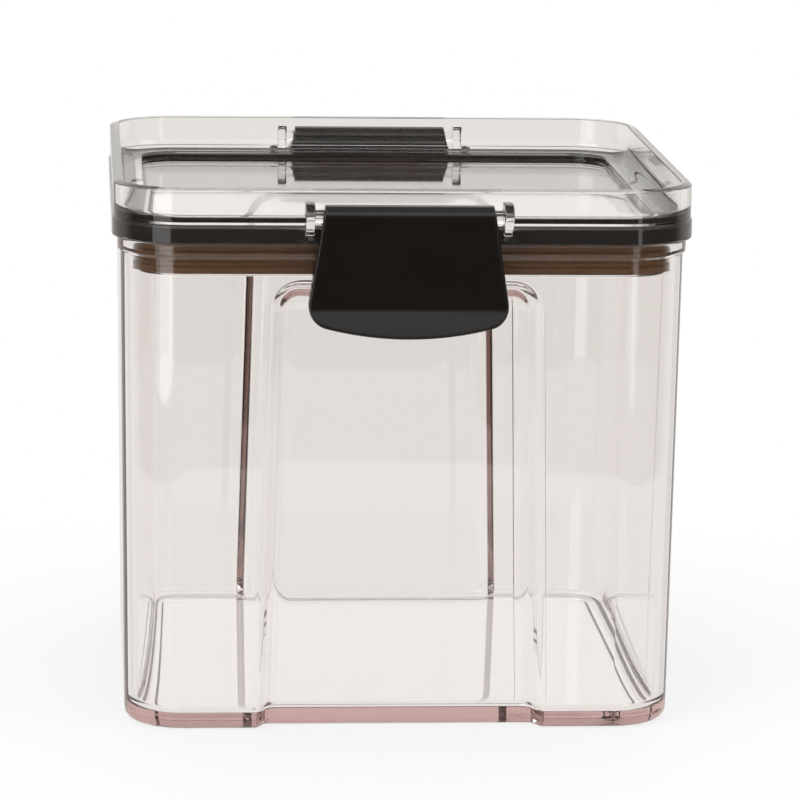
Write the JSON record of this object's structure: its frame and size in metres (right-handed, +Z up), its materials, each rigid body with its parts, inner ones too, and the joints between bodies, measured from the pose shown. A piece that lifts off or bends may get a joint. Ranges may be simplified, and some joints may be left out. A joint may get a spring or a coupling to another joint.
{
  "type": "storage bin with clamped stacking lid",
  "caption": "Square clear bin for rice and other dry food, with a stacking tray lid, a plug gasket and flip latches front and rear.",
  "frame": {"origin": "centre of the base on the surface that the bin stands on", "axes": "+Z up, -Y towards the front latch, +X to the right seen from the front"},
  "size_m": [0.1054, 0.1172, 0.1],
  "materials": {
    "clear_bin": "clear moulded plastic with a faint rose tint in its thick edges",
    "clear_lid": "clear moulded plastic, glossy, almost colourless",
    "black_seal": "black silicone, satin",
    "black_latch": "fine satin moulded black plastic"
  },
  "bodies": {
    "bin": {"bin_body": "clear_bin"},
    "lid": {"lid": "clear_lid", "gasket": "black_seal"},
    "front_latch": {"front_latch": "black_latch"},
    "rear_latch": {"rear_latch": "black_latch"}
  },
  "joints": [
    {"name": "lid_lift", "type": "slide", "parent": "bin", "child": "lid", "axis": [0, 0, 1], "range_m": [0, 0.06]},
    {"name": "front_latch_hinge", "type": "hinge", "parent": "lid", "child": "front_latch", "pos_m": [0, -0.0549, 0.0955], "axis": [-1, 0, 0], "range_deg": [0, 120]},
    {"name": "rear_latch_hinge", "type": "hinge", "parent": "lid", "child": "rear_latch", "pos_m": [0, 0.0549, 0.0955], "axis": [1, 0, 0], "range_deg": [0, 120]}
  ]
}
